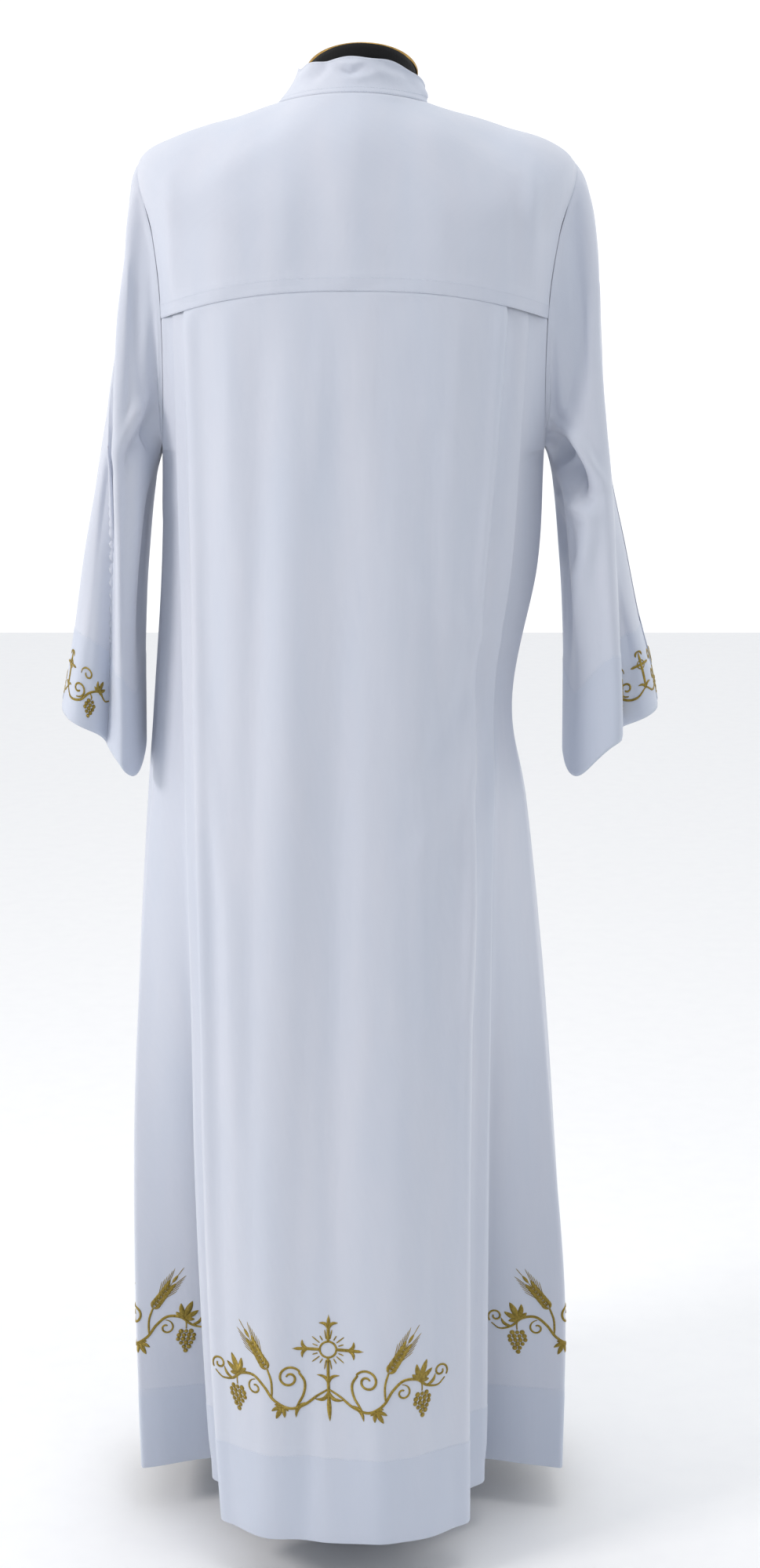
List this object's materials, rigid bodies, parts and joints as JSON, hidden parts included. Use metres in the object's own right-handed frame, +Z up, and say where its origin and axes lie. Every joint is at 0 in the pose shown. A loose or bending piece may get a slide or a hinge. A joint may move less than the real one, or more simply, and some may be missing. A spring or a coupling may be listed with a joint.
{
  "type": "alb on a dress form",
  "caption": "Full-length white liturgical alb with a stand collar, pleated back and wide cuffed sleeves, standing on a limbless dress form.",
  "frame": {"origin": "centre of the stand plate's underside, on the floor", "axes": "+Z up the stand, the wearer's front faces -Y and the wearer's left is +X"},
  "size_m": [0.6273, 0.4081, 1.5743],
  "materials": {
    "back_panel": "matte cool white polyester weave",
    "back_yoke": "matte cool white polyester weave",
    "front_left": "matte cool white polyester weave",
    "front_right": "matte cool white polyester weave",
    "front_placket": "matte cool white polyester weave",
    "collar_band": "matte cool white polyester weave",
    "sleeve_left": "matte cool white polyester weave",
    "sleeve_right": "matte cool white polyester weave",
    "form_torso": "black jersey cover",
    "neck_cap": "stained and varnished",
    "stand_plate": "satin black",
    "stand_pole": "satin"
  },
  "bodies": {
    "root": {"back_panel": "back_panel", "back_yoke": "back_yoke", "front_left": "front_left", "front_right": "front_right", "front_placket": "front_placket", "collar_band": "collar_band", "sleeve_left": "sleeve_left", "sleeve_right": "sleeve_right", "form_torso": "form_torso", "neck_cap": "neck_cap", "stand_plate": "stand_plate", "stand_pole": "stand_pole"}
  },
  "joints": []
}
